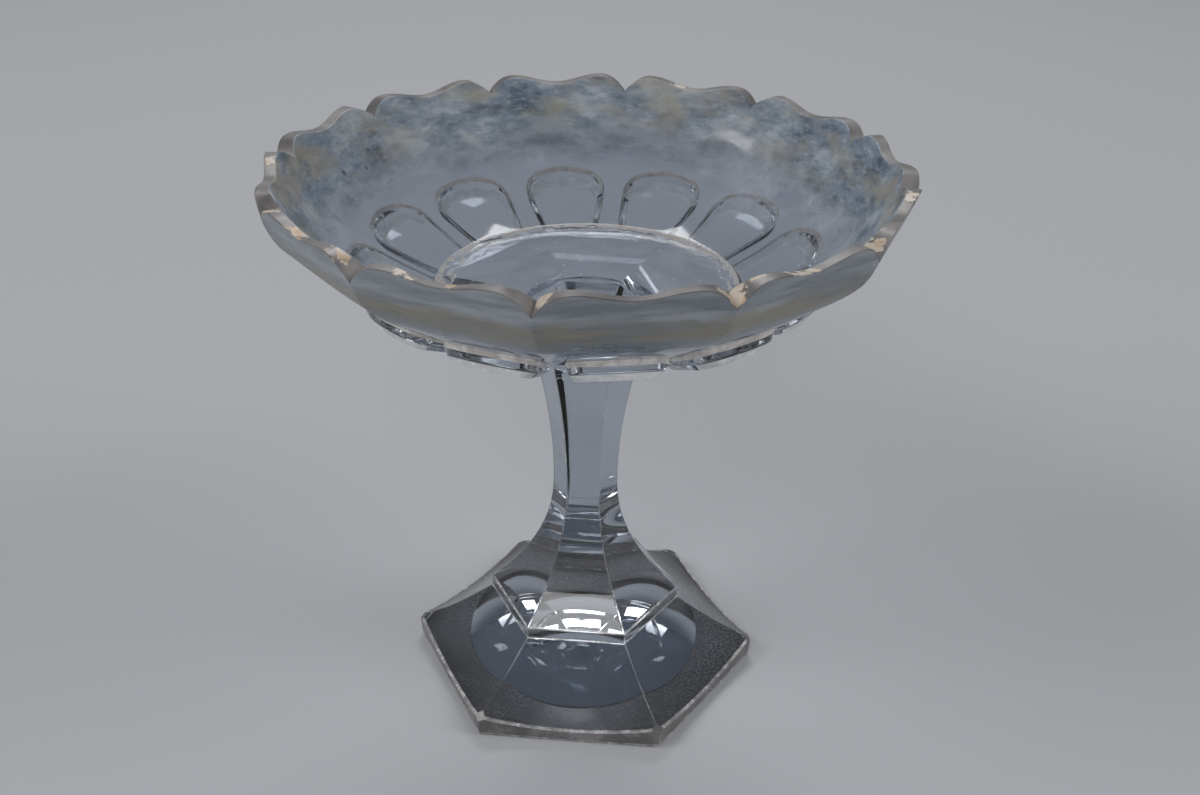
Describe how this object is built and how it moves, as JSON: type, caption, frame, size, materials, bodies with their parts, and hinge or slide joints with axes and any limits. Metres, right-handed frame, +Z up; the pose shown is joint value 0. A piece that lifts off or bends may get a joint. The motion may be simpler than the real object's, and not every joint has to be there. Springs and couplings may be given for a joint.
{
  "type": "footed glass fruit bowl",
  "caption": "Shallow footed bowl in clear cut glass with a lobed, notched rim, raised tongues underneath, a six-sided waisted stem and a six-sided stepped foot.",
  "frame": {"origin": "middle of the ground face that the foot stands on, under the bowl's axis", "axes": "+Z up along the axis of stem and bowl, +X towards a corner of the six-sided foot"},
  "size_m": [0.2464, 0.2464, 0.2284],
  "materials": {
    "foot_glass": "clear polished glass, ground matt where it stands",
    "stem_glass": "clear polished glass",
    "wafer_glass": "clear fire-polished glass",
    "bowl_glass": "clear glass with a blue-grey haze on the wall"
  },
  "bodies": {
    "root": {"foot": "foot_glass", "stem": "stem_glass", "joining_wafer": "wafer_glass", "bowl": "bowl_glass"}
  },
  "joints": []
}
